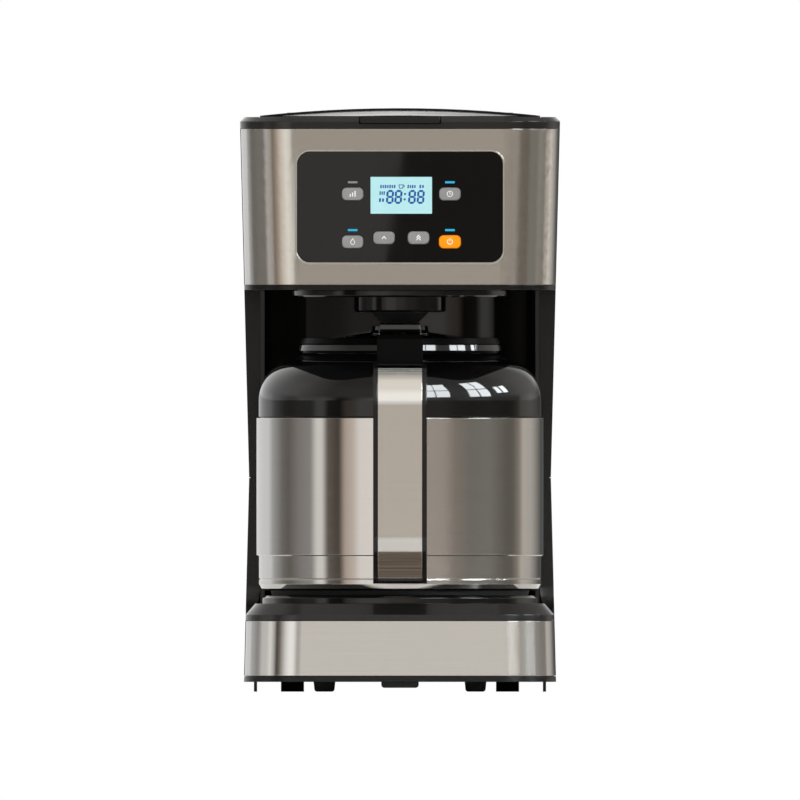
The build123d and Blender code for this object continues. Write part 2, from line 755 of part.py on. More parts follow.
with BuildPart() as inlet_hose:
    add(
        pipe(
            TUBE_R,
            14,
            (-HEATER_X, HEATER_END, HEATER_Z),
            (-HEATER_X, TANK_OUTLET[1], HEATER_Z),
            (-HEATER_X, TANK_OUTLET[1], TANK_BOTTOM - 7),
        )
    )
inlet_hose.part.label = "inlet_hose"
export_step(inlet_hose.part, "parts/inlet_hose.step")

with BuildPart() as outlet_hose:
    add(
        pipe(
            TUBE_R,
            14,
            (HEATER_X, HEATER_END, HEATER_Z),
            (HEATER_X, RISER_Y, HEATER_Z),
            (RISER_X, RISER_Y, HEATER_Z),
            (RISER_X, RISER_Y, TANK_BOTTOM),
        )
    )
outlet_hose.part.label = "outlet_hose"
export_step(outlet_hose.part, "parts/outlet_hose.step")

with BuildPart() as riser_tube:
    with Locations((RISER_X, RISER_Y, (TANK_BOTTOM + RISER_TOP) / 2)):
        Cylinder(TUBE_R, RISER_TOP - TANK_BOTTOM)
        Cylinder(TUBE_BORE, RISER_TOP - TANK_BOTTOM, mode=Mode.SUBTRACT)
riser_tube.part.label = "riser_tube"
export_step(riser_tube.part, "parts/riser_tube.step")

with BuildPart() as riser_seal:
    with Locations((RISER_X, RISER_Y, RISER_TOP + 2)):
        Cylinder(7, 3)
        Cylinder(TUBE_BORE, 3, mode=Mode.SUBTRACT)
riser_seal.part.label = "riser_seal"
export_step(riser_seal.part, "parts/riser_seal.step")

POWER_Y = 40.0
POWER_Z = 14.0
POWER_T = 1.6
TRANSFORMER_TOP = 36.0
CAPACITOR_H = 14.0

with BuildPart() as power_board:
    with BuildSketch(Plane.XY.offset(POWER_Z)):
        with Locations((0, POWER_Y)):
            Rectangle(48, 70)
    extrude(amount=POWER_T)
    add(block((-16, 12), (12, 38), (POWER_Z + POWER_T, TRANSFORMER_TOP)))
    with Locations((12, 60, POWER_Z + POWER_T + CAPACITOR_H / 2)):
        Cylinder(5, CAPACITOR_H)
    with BuildSketch(Plane.XY.offset(COVER_TOP)):
        with Locations((0, POWER_Y)):
            with GridLocations(40, 62, 2, 2):
                Circle(2.5)
    extrude(amount=POWER_Z - COVER_TOP)
power_board.part.label = "power_board"
export_step(power_board.part, "parts/power_board.step")

SCREW_HEAD_R = 3.5
SCREW_HEAD_T = 1.8

with BuildPart() as board_screws:
    with BuildSketch(panel_face.offset(-BOARD_DEPTH - SCREW_HEAD_T)):
        with GridLocations(BOARD_W - 8, BOARD_H - 8, 2, 2):
            Circle(SCREW_HEAD_R)
    extrude(amount=SCREW_HEAD_T)
board_screws.part.label = "board_screws"
export_step(board_screws.part, "parts/board_screws.step")

# ---------------------------------------------------------------- brew parts

DISC_R = 68.0
NECK_R = 28.6
CHAMBER_TOP = 337.8

with BuildPart() as brew_chamber:
    add(
        turned(
            (SPOUT_R + 0.6, 237.4),
            (NECK_R - 1, 237.4),
            (NECK_R, 238.4),
            (NECK_R, 246.7),
            (DISC_R - 1, 246.7),
            (DISC_R, 247.7),
            (DISC_R, 250.6),
            (CHAMBER_R, 250.6),
            (CHAMBER_R, CHAMBER_TOP),
            (CHAMBER_R - 2.5, CHAMBER_TOP),
            (CHAMBER_R - 2.5, 252.9),
            (NECK_R - 2.6, 252.9),
            (NECK_R - 2.6, 239.6),
            (SPOUT_R + 0.6, 239.6),
        )
    )
brew_chamber.part.label = "brew_chamber"
export_step(brew_chamber.part, "parts/brew_chamber.step")

SPOUT_BOTTOM = 230.7
BASKET_TOP = 334.0
GUIDE_Z = (254.0, 256.0)

with BuildPart() as filter_basket:
    add(
        turned(
            (6, SPOUT_BOTTOM),
            (11.2, SPOUT_BOTTOM),
            (SPOUT_R, 237.1),
            (SPOUT_R, 254),
            (43, 256),
            (48, 262),
            (59, 330),
            (62, 330),
            (62, BASKET_TOP),
            (57.5, BASKET_TOP),
            (57, 330),
            (46, 263.5),
            (42.5, 258.6),
            (15.5, 256.5),
            (15.5, 238.2),
            (6, 235.9),
        )
    )
    add(block((-16, 16), (AXIS_Y - 2, AXIS_Y + 2), GUIDE_Z))
    with Locations((0, AXIS_Y, GUIDE_Z[0])):
        Cylinder(3, 10, mode=Mode.SUBTRACT)
filter_basket.part.label = "filter_basket"
export_step(filter_basket.part, "parts/filter_basket.step")

with BuildPart() as mesh_filter:
    add(
        turned(
            (0, 266),
            (40, 266),
            (55.2, 328),
            (55.2, 331),
            (54.2, 331),
            (54.2, 328.3),
            (39.2, 267),
            (0, 267),
        )
    )
mesh_filter.part.label = "mesh_filter"
export_step(mesh_filter.part, "parts/mesh_filter.step")

VALVE_BOTTOM = 229.0
VALVE_DISC = 241.6

with BuildPart() as drip_valve:
    add(
        turned(
            (0, VALVE_BOTTOM),
            (3, VALVE_BOTTOM),
            (4, VALVE_BOTTOM + 1),
            (4, VALVE_DISC),
            (9, VALVE_DISC),
            (9, VALVE_DISC + 2.4),
            (2.5, VALVE_DISC + 2.4),
            (2.5, GUIDE_Z[1] + 1),
            (0, GUIDE_Z[1] + 1),
        )
    )
drip_valve.part.label = "drip_valve"
export_step(drip_valve.part, "parts/drip_valve.step")

with BuildPart() as drip_spring:
    add(coil(4.4, 0.4, 2.2, VALVE_DISC + 3.2, GUIDE_Z[0] - 1, AXIS_Y))
drip_spring.part.label = "drip_spring"
export_step(drip_spring.part, "parts/drip_spring.step")

# ---------------------------------------------------------------- carafe

PAD_Z = (60.3, 63.3)
GROOVE_Z = 70.4

with BuildPart() as carafe_body:
    add(
        turned(
            (STEEL_R - 0.6, STEEL_BOTTOM),
            (STEEL_R, STEEL_BOTTOM + 0.6),
            (STEEL_R, STEEL_TOP),
            (STEEL_R - STEEL_WALL, STEEL_TOP),
            (STEEL_R - STEEL_WALL, STEEL_BOTTOM),
        )
    )
carafe_body.part.label = "carafe_body"
export_step(carafe_body.part, "parts/carafe_body.step")

with BuildPart() as carafe_lower_shell:
    add(
        turned(
            (80, PAD_Z[1]),
            (84, PAD_Z[1]),
            (87, 64.4),
            (LOWER_R, 67.2),
            (LOWER_R, GROOVE_Z - 0.5),
            (LOWER_R - 0.5, GROOVE_Z),
            (LOWER_R, GROOVE_Z + 0.5),
            (LOWER_R, 90),
            (LOWER_R - STEEL_WALL, 90),
            (LOWER_R - STEEL_WALL, 67.8),
            (86, 65.4),
            (83.5, PAD_Z[1] + STEEL_WALL),
            (80, PAD_Z[1] + STEEL_WALL),
        )
    )
carafe_lower_shell.part.label = "carafe_lower_shell"
export_step(carafe_lower_shell.part, "parts/carafe_lower_shell.step")

with BuildPart() as carafe_base_pad:
    add(turned((0, PAD_Z[0]), (80, PAD_Z[0]), (81, PAD_Z[1]), (0, PAD_Z[1])))
carafe_base_pad.part.label = "carafe_base_pad"
export_step(carafe_base_pad.part, "parts/carafe_base_pad.step")

LINER_R = 82.0
LINER_NECK = 56.6
LINER_WALL = 0.8
LINER_BOTTOM = 72.0
LINER_BEND = 5.0
LINER_SHOULDER = 168.0
LINER_TOP = 210.0

with BuildPart() as carafe_liner:
    add(
        turned(
            (LINER_R - LINER_BEND, LINER_BOTTOM),
            (LINER_R, LINER_BOTTOM + LINER_BEND),
            (LINER_R, LINER_SHOULDER),
            (LINER_R - LINER_WALL, LINER_SHOULDER),
            (LINER_R - LINER_WALL, LINER_BOTTOM + LINER_BEND + 0.4),
            (LINER_R - LINER_BEND - 0.4, LINER_BOTTOM + LINER_WALL),
        )
    )
carafe_liner.part.label = "carafe_liner"
export_step(carafe_liner.part, "parts/carafe_liner.step")

with BuildPart() as liner_base:
    add(
        turned(
            (0, LINER_BOTTOM),
            (LINER_R - LINER_BEND, LINER_BOTTOM),
            (LINER_R - LINER_BEND - 0.4, LINER_BOTTOM + LINER_WALL),
            (0, LINER_BOTTOM + LINER_WALL),
        )
    )
liner_base.part.label = "liner_base"
export_step(liner_base.part, "parts/liner_base.step")

with BuildPart() as liner_neck:
    add(
        turned(
            (LINER_R, LINER_SHOULDER),
            (LINER_NECK, LINER_SHOULDER + 20),
            (LINER_NECK, LINER_TOP),
            (LINER_NECK - LINER_WALL, LINER_TOP),
            (LINER_NECK - LINER_WALL, LINER_SHOULDER + 19.4),
            (LINER_R - LINER_WALL, LINER_SHOULDER),
        )
    )
liner_neck.part.label = "liner_neck"
export_step(liner_neck.part, "parts/liner_neck.step")

SHOULDER = ((COLLAR_R, 182.0), (67.0, 207.5))

with BuildPart() as carafe_collar:
    with BuildSketch(BREW_PLANE):
        with BuildLine():
            Polyline(
                (85, 165),
                (COLLAR_R, 165),
                (COLLAR_R, STEEL_TOP - 0.4),
                (COLLAR_R - 1, STEEL_TOP),
                (COLLAR_R - 1, STEEL_TOP + 0.5),
                (COLLAR_R, STEEL_TOP + 0.9),
                SHOULDER[0],
            )
            TangentArc(SHOULDER[0], SHOULDER[1], tangent=(0, 1))
            Polyline(
                SHOULDER[1],
                (62, NECK_TOP - 0.6),
                (61.4, NECK_TOP),
                (57, NECK_TOP),
                (57, 200),
                (85, 178),
                (85, 165),
            )
        make_face()
    revolve(axis=BREW_AXIS)
carafe_collar.part.label = "carafe_collar"
export_step(carafe_collar.part, "parts/carafe_collar.step")

HANDLE_FIT = 0.05

with BuildPart() as carafe_solid:
    with BuildSketch(BREW_PLANE):
        with BuildLine() as carafe_profile:
            Polyline((0, PAD_Z[1]), (LOWER_R, PAD_Z[1]), (LOWER_R, STEEL_BOTTOM))
            Polyline(
                (LOWER_R, STEEL_BOTTOM),
                (STEEL_R, STEEL_BOTTOM),
                (STEEL_R, STEEL_TOP),
                (COLLAR_R, STEEL_TOP),
                SHOULDER[0],
            )
            TangentArc(SHOULDER[0], SHOULDER[1], tangent=(0, 1))
            Polyline(SHOULDER[1], (66, 208.4), (66, 230), (0, 230), (0, PAD_Z[1]))
        make_face()
        offset(amount=HANDLE_FIT)
        with Locations((-WIDE / 2, WIDE / 2)):
            Rectangle(WIDE, 2 * WIDE, mode=Mode.SUBTRACT)
    revolve(axis=BREW_AXIS)

HANDLE_TOP = 206.7
HANDLE_BOTTOM = 67.5
BEND_TOP = 179.5
BEND_BOTTOM = 97.0
HANDLE_T = 16.0


def handle_outline(shift=0.0):
    """Side face of the handle, with its grip, arms and bends, moved back by shift."""
    top_r = HANDLE_TOP - BEND_TOP
    low_r = BEND_BOTTOM - HANDLE_BOTTOM
    front = HANDLE_FRONT + shift
    with BuildSketch(Plane.YZ) as side:
        with BuildLine():
            Line((front, BEND_BOTTOM), (front, BEND_TOP))
            TangentArc((front, BEND_TOP), (front + top_r, HANDLE_TOP), tangent=(0, 1))
            Polyline(
                (front + top_r, HANDLE_TOP),
                (-60, HANDLE_TOP),
                (-60, HANDLE_BOTTOM),
                (front + low_r, HANDLE_BOTTOM),
            )
            TangentArc(
                (front + low_r, HANDLE_BOTTOM), (front, BEND_BOTTOM), tangent=(-1, 0)
            )
        make_face()
    return side.sketch


GRIP_BACK = HANDLE_FRONT + HANDLE_T
GAP_Z = (90.0, 192.0)

with BuildPart() as handle_gap:
    with BuildSketch(Plane.YZ):
        with Locations(((GRIP_BACK - 60) / 2, (GAP_Z[0] + GAP_Z[1]) / 2)):
            RectangleRounded(-60 - GRIP_BACK, GAP_Z[1] - GAP_Z[0], 10)
    extrude(amount=WIDE, both=True)

with BuildPart() as handle_inlay:
    extrude(handle_outline(), amount=INLAY_HALF, both=True)
    extrude(handle_outline(INLAY_T), amount=INLAY_HALF + 1, both=True, mode=Mode.SUBTRACT)
    add(block((-WIDE, WIDE), (-WIDE, -108), (69.2, 204.2)), mode=Mode.INTERSECT)
handle_inlay.part.label = "handle_inlay"
export_step(handle_inlay.part, "parts/handle_inlay.step")

BLOCK_HALF = 14.4
BLOCK_TOP = 223.3

with BuildPart() as carafe_handle:
    extrude(handle_outline(), amount=HANDLE_HALF, both=True)
    add(
        side_profile(
            BLOCK_HALF,
            (-104, 200),
            (-102, BLOCK_TOP - 3),
            (-98, BLOCK_TOP),
            (-60, BLOCK_TOP),
            (-60, 200),
        )
    )
    add(handle_gap.part, mode=Mode.SUBTRACT)
    add(carafe_solid.part, mode=Mode.SUBTRACT)
    add(handle_inlay.part, mode=Mode.SUBTRACT)
carafe_handle.part.label = "carafe_handle"
export_step(carafe_handle.part, "parts/carafe_handle.step")

# ---------------------------------------------------------------- carafe lid

PLUG_R = 54.0
PLUG_BORE = 51.8
PLUG_BOTTOM = 193.0
HUB_TOP = 228.5

WELL_Y = (-66.5, -20.5)
lid_fill = turned((0, 211.6), (58, 211.6), (58, 218.2), (19, 223.6), (0, 223.6))

with BuildPart() as lever_well:
    add(block((-15.4, 15.4), WELL_Y, (211.6, HUB_TOP)))
    add(lid_fill, mode=Mode.INTERSECT)

with BuildPart() as carafe_lid:
    add(
        turned(
            (5, 222),
            (14.5, HUB_TOP),
            (17.5, HUB_TOP),
            (17.9, 224.9),
            (19, 224.6),
            (57, 219.2),
            (60.2, 218.4),
            (60.2, 221),
            (61.2, 221),
            (62.6, 217.4),
            (63.7, 216.7),
            (64.4, 213.2),
            (63.2, 211.5),
            (PLUG_R, 211.5),
            (PLUG_R, PLUG_BOTTOM),
            (PLUG_BORE, PLUG_BOTTOM),
            (PLUG_BORE, 216.6),
            (20, 221.5),
            (7, 219.5),
            (7, PLUG_BOTTOM),
            (5, PLUG_BOTTOM),
        )
    )
    add(lever_well.part)
    for x in (-15.2, 15.2):
        with Locations((x, LEVER_Y, LEVER_Z)):
            Cylinder(2.6, 3.4, rotation=(0, 90, 0))
    add(block((-13.2, 13.2), (-65, -23), (214, WIDE)), mode=Mode.SUBTRACT)
    add(block((-13.2, 13.2), (-74, -64), (217.2, WIDE)), mode=Mode.SUBTRACT)
    with Locations((0, STEM_Y, 210)):
        Cylinder(STEM_R + 0.4, 12, mode=Mode.SUBTRACT)
    with Locations((0, LEVER_Y, LEVER_Z)):
        Cylinder(LEVER_PIN_R + 0.02, 40, rotation=(0, 90, 0), mode=Mode.SUBTRACT)
carafe_lid.part.label = "carafe_lid"
export_step(carafe_lid.part, "parts/carafe_lid.step")

with BuildPart() as carafe_lid_base:
    add(disc(PLUG_R, PLUG_BOTTOM - 3, PLUG_BOTTOM))
    with Locations((0, AXIS_Y, PLUG_BOTTOM)):
        Cylinder(5, 10, mode=Mode.SUBTRACT)
    with Locations((0, STEM_Y, PLUG_BOTTOM)):
        Cylinder(6, 10, mode=Mode.SUBTRACT)
carafe_lid_base.part.label = "carafe_lid_base"
export_step(carafe_lid_base.part, "parts/carafe_lid_base.step")

with BuildPart() as carafe_lid_seal:
    add(turned((PLUG_R, 196), (55.4, 197), (55.4, 199), (PLUG_R, 200)))
carafe_lid_seal.part.label = "carafe_lid_seal"
export_step(carafe_lid_seal.part, "parts/carafe_lid_seal.step")

with BuildPart() as thumb_lever:
    add(
        side_profile(
            LEVER_HALF,
            (-71, 226.5),
            (-70.4, 229.4),
            (-66, 230.3),
            (-50, 230.6),
            (-36, 230.2),
            (-27.5, 228.6),
            (-26, 226),
            (-26.4, 222),
            (-28.5, 220.2),
            (-31.5, 220.2),
            (-34, 221.6),
            (-37, 223.6),
            (-67, 223.6),
            (-70.4, 224.2),
        )
    )
    with Locations((0, LEVER_Y, LEVER_Z)):
        Cylinder(LEVER_PIN_R + 0.1, 40, rotation=(0, 90, 0), mode=Mode.SUBTRACT)
thumb_lever.part.label = "thumb_lever"
export_step(thumb_lever.part, "parts/thumb_lever.step")

with BuildPart() as lever_pin:
    with Locations((0, LEVER_Y, LEVER_Z)):
        Cylinder(LEVER_PIN_R, 33, rotation=(0, 90, 0))
lever_pin.part.label = "lever_pin"
export_step(lever_pin.part, "parts/lever_pin.step")

STEM_Z = (187.0, 222.7)
CAP_R = 5.4
CAP_T = 2.0
CAP_EDGE = 1.0
VALVE_SEAL_T = 2.4

with BuildPart() as pour_valve:
    with BuildSketch(Plane(origin=(0, STEM_Y, 0), x_dir=(1, 0, 0), z_dir=(0, -1, 0))):
        with BuildLine():
            Polyline(
                (0, STEM_Z[0]),
                (8, STEM_Z[0]),
                (8, STEM_Z[0] + VALVE_SEAL_T),
                (STEM_R, STEM_Z[0] + VALVE_SEAL_T),
                (STEM_R, STEM_Z[1] - CAP_T),
                (CAP_R, STEM_Z[1] - CAP_T),
                (CAP_R, STEM_Z[1] - CAP_EDGE),
                (CAP_R - CAP_EDGE, STEM_Z[1]),
                (0, STEM_Z[1]),
                close=True,
            )
        make_face()
    revolve(axis=Axis((0, STEM_Y, 0), (0, 0, 1)))
pour_valve.part.label = "pour_valve"
export_step(pour_valve.part, "parts/pour_valve.step")

with BuildPart() as pour_spring:
    add(coil(4, 0.4, 1.6, 214.5, 217.6, STEM_Y))
pour_spring.part.label = "pour_spring"
export_step(pour_spring.part, "parts/pour_spring.step")
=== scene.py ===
import bpy
import bmesh
import math
from mathutils import Matrix, Vector


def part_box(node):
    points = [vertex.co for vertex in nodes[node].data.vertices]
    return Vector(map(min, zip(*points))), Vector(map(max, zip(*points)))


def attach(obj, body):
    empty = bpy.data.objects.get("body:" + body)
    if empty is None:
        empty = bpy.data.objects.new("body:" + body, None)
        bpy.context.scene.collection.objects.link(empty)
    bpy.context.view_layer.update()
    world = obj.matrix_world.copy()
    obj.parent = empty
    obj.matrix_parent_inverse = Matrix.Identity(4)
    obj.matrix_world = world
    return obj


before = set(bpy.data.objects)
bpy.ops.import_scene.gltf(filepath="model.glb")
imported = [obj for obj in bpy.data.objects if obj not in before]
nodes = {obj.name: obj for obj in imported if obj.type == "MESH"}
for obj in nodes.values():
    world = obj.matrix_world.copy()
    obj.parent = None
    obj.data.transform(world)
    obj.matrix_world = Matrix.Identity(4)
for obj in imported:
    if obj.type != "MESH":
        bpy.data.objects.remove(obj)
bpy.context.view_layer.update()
MM = 0.001

# ------------------------------------------------------------------ camera and studio

VIEW_WIDTH = 0.5
VIEW_CENTRE_Z = 0.1823
VIEW_DISTANCE = 3
LAMP_AIM = (0, 0, 0.2)


def look_from(name, place, target, data):
    """Links an object that looks from place towards target."""
    made = bpy.data.objects.new(name, data)
    made.location = place
    made.rotation_euler = (Vector(target) - Vector(place)).to_track_quat("-Z", "Y").to_euler()
    bpy.context.scene.collection.objects.link(made)
    return made


camera_data = bpy.data.cameras.new("camera")
camera_data.type = "ORTHO"
camera_data.ortho_scale = VIEW_WIDTH
camera = look_from(
    "camera", (0, -VIEW_DISTANCE, VIEW_CENTRE_Z), (0, 0, VIEW_CENTRE_Z), camera_data
)
bpy.context.scene.camera = camera
bpy.context.scene.view_settings.view_transform = "Standard"


def softbox(name, place, size, power):
    """Rectangular studio light aimed at the object's middle, left out of reflections."""
    lamp = bpy.data.lights.new(name, "AREA")
    lamp.shape = "RECTANGLE"
    lamp.size, lamp.size_y = size
    lamp.energy = power
    look_from(name, place, LAMP_AIM, lamp).visible_glossy = False


softbox("top_softbox", (-0.1, -0.3, 1.5), (1.2, 0.8), 9)
softbox("left_softbox", (-1.4, -0.9, 0.8), (0.5, 1.1), 5)
softbox("back_softbox", (0.6, 1.6, 0.9), (1.0, 0.8), 8)

# Studio walls as reflections see them, in four rings from just below the horizon upwards:
# (degrees round from the front, colour).
LOW_WALLS = [
    (-180, (1.19, 1.19, 1.19)),
    (-133, (1.16, 1.16, 1.16)),
    (-126, (0.67, 0.66, 0.66)),
    (-118, (0.44, 0.43, 0.42)),
    (-111, (0.25, 0.24, 0.22)),
    (-74, (0.25, 0.22, 0.20)),
    (-67, (0.55, 0.52, 0.50)),
    (-59, (0.65, 0.60, 0.55)),
    (-52, (0.35, 0.29, 0.24)),
    (-45, (0.46, 0.38, 0.32)),
    (-37, (0.82, 0.71, 0.60)),
    (-23, (1.18, 1.14, 1.05)),
    (-15, (0.98, 0.93, 0.86)),
    (-8, (0.45, 0.42, 0.38)),
    (-3, (0.39, 0.36, 0.31)),
    (0, (0.44, 0.40, 0.34)),
    (4, (0.39, 0.35, 0.30)),
    (28, (0.43, 0.39, 0.34)),
    (39, (0.21, 0.18, 0.15)),
    (54, (0.21, 0.18, 0.15)),
    (61, (0.28, 0.26, 0.23)),
    (76, (0.28, 0.26, 0.23)),
    (83, (0.39, 0.37, 0.33)),
    (98, (0.39, 0.36, 0.32)),
    (105, (0.81, 0.73, 0.65)),
    (120, (1.13, 1.10, 1.02)),
    (130, (0.91, 0.86, 0.80)),
    (142, (0.59, 0.57, 0.54)),
    (156, (0.28, 0.27, 0.25)),
    (164, (0.16, 0.15, 0.14)),
    (180, (0.16, 0.15, 0.14)),
]
LEVEL_WALLS = [
    (-180, (0.66, 0.66, 0.66)),
    (-165, (0.82, 0.82, 0.83)),
    (-132, (0.80, 0.80, 0.82)),
    (-125, (0.48, 0.48, 0.48)),
    (-110, (0.20, 0.19, 0.18)),
    (-102, (0.15, 0.14, 0.125)),
    (-90, (0.27, 0.25, 0.235)),
    (-77, (0.33, 0.32, 0.31)),
    (-71, (0.90, 0.88, 0.85)),
    (-66, (0.90, 0.88, 0.85)),
    (-61, (0.12, 0.10, 0.085)),
    (-50, (0.07, 0.055, 0.04)),
    (-45, (0.60, 0.50, 0.43)),
    (-38, (0.75, 0.65, 0.58)),
    (-33, (1.00, 0.95, 0.93)),
    (-14, (1.00, 0.94, 0.88)),
    (-7, (0.70, 0.63, 0.56)),
    (6, (0.66, 0.59, 0.52)),
    (20, (0.42, 0.37, 0.33)),
    (36, (0.41, 0.36, 0.32)),
    (46, (0.27, 0.24, 0.21)),
    (60, (0.20, 0.19, 0.17)),
    (78, (0.22, 0.21, 0.19)),
    (96, (0.14, 0.13, 0.115)),
    (104, (0.15, 0.14, 0.12)),
    (112, (0.30, 0.27, 0.24)),
    (118, (0.62, 0.57, 0.50)),
    (132, (0.52, 0.50, 0.47)),
    (144, (0.29, 0.27, 0.25)),
    (156, (0.10, 0.10, 0.10)),
    (176, (0.10, 0.10, 0.10)),
    (180, (0.48, 0.48, 0.48)),
]
HIGH_WALLS = [
    (-180, (0.45, 0.45, 0.45)),
    (-177, (1.20, 1.20, 1.20)),
    (-133, (1.15, 1.15, 1.16)),
    (-126, (0.87, 0.87, 0.87)),
    (-118, (0.78, 0.78, 0.78)),
    (-103, (0.46, 0.45, 0.44)),
    (-96, (0.55, 0.55, 0.55)),
    (-89, (0.86, 0.86, 0.86)),
    (-74, (0.86, 0.85, 0.83)),
    (-67, (1.08, 1.07, 1.04)),
    (-59, (0.75, 0.73, 0.72)),
    (-52, (0.06, 0.06, 0.04)),
    (-45, (0.13, 0.12, 0.11)),
    (-38, (0.56, 0.55, 0.51)),
    (-30, (1.05, 1.05, 1.03)),
    (-23, (1.33, 1.33, 1.33)),
    (-16, (1.26, 1.26, 1.26)),
    (-7, (0.45, 0.45, 0.43)),
    (-1, (0.87, 0.85, 0.81)),
    (29, (0.86, 0.83, 0.79)),
    (39, (0.53, 0.50, 0.46)),
    (47, (0.54, 0.51, 0.46)),
    (61, (0.67, 0.69, 0.67)),
    (76, (0.66, 0.66, 0.64)),
    (83, (0.43, 0.41, 0.39)),
    (98, (0.36, 0.34, 0.32)),
    (113, (0.34, 0.32, 0.30)),
    (120, (0.79, 0.77, 0.76)),
    (135, (0.77, 0.75, 0.74)),
    (149, (0.33, 0.32, 0.31)),
    (157, (0.16, 0.16, 0.15)),
    (180, (0.33, 0.33, 0.33)),
]
UPPER_WALLS = [
    (-180, (1.05, 1.05, 1.05)),
    (-120, (0.72, 0.72, 0.72)),
    (-95, (0.80, 0.78, 0.76)),
    (-60, (0.36, 0.35, 0.33)),
    (-25, (0.45, 0.43, 0.41)),
    (-8, (1.08, 1.06, 1.03)),
    (8, (1.08, 1.06, 1.03)),
    (20, (0.58, 0.58, 0.60)),
    (90, (0.52, 0.52, 0.54)),
    (120, (0.62, 0.60, 0.57)),
    (150, (0.36, 0.35, 0.34)),
    (180, (1.05, 1.05, 1.05)),
]
# Where one ring gives way to the next, as the upward share of a direction.
RING_EDGES = [(-0.046, -0.032), (0.032, 0.046), (0.085, 0.18)]

# All rings by height: (share of the way up from straight down to straight up, colour).
WALL_HEIGHTS = [
    (0.0, (0.45, 0.43, 0.41)),
    (0.45, (0.70, 0.69, 0.67)),
    (0.47, (1.0, 1.0, 1.0)),
    (0.55, (1.0, 1.0, 1.0)),
    (0.60, (1.22, 1.22, 1.22)),
    (0.74, (1.22, 1.22, 1.20)),
    (0.83, (1.0, 0.98, 0.95)),
    (0.96, (0.98, 0.95, 0.90)),
    (1.0, (0.60, 0.58, 0.55)),
]


def fill_ramp(ramp, stops):
    """Sets a colour ramp's stops from (position, colour) pairs."""
    while len(ramp.elements) > 1:
        ramp.elements.remove(ramp.elements[-1])
    ramp.elements[0].position = stops[0][0]
    ramp.elements[0].color = (*stops[0][1], 1)
    for place, colour in stops[1:]:
        ramp.elements.new(place).color = (*colour, 1)


def map_range(tree, value, source, target=(0, 1)):
    """Maps a value from one range onto another and holds it there."""
    made = tree.nodes.new("ShaderNodeMapRange")
    made.inputs["From Min"].default_value, made.inputs["From Max"].default_value = source
    made.inputs["To Min"].default_value, made.inputs["To Max"].default_value = target
    tree.links.new(value, made.inputs["Value"])
    return made.outputs[0]


def combine(tree, operation, first, second):
    """Joins two values by a maths node, and the second may be a plain number."""
    made = tree.nodes.new("ShaderNodeMath")
    made.operation = operation
    tree.links.new(first, made.inputs[0])
    if isinstance(second, (int, float)):
        made.inputs[1].default_value = second
    else:
        tree.links.new(second, made.inputs[1])
    return made.outputs[0]


# Window panes that only reflections show, in degrees: two windows of four panes and a
# smaller one of two, each pane as (left, right) and (low, high).
PANES = [
    (across, up)
    for across in ((19, 29.5), (30.5, 42), (60, 69.5), (70.7, 81))
    for up in ((9, 25), (26.5, 42))
] + [(across, (15, 27)) for across in ((90, 95), (97, 103))]
PANE_COLOUR = (0.93, 0.97, 1.0)
PANE_STRENGTH = 19.0


def window_mask(tree, turn, height):
    """One inside the panes and nought outside, from a direction's azimuth and its Z."""

    def between(value, low, high):
        centred = tree.nodes.new("ShaderNodeMath")
        centred.operation = "COMPARE"
        tree.links.new(value, centred.inputs[0])
        centred.inputs[1].default_value = (low + high) / 2
        centred.inputs[2].default_value = (high - low) / 2
        return centred.outputs[0]

    total = None
    for across, up in PANES:
        inside = combine(
            tree,
            "MULTIPLY",
            between(turn, *(math.radians(a) for a in across)),
            between(height, *(math.sin(math.radians(a)) for a in up)),
        )
        total = combine(tree, "ADD", total, inside) if total else inside
    return total


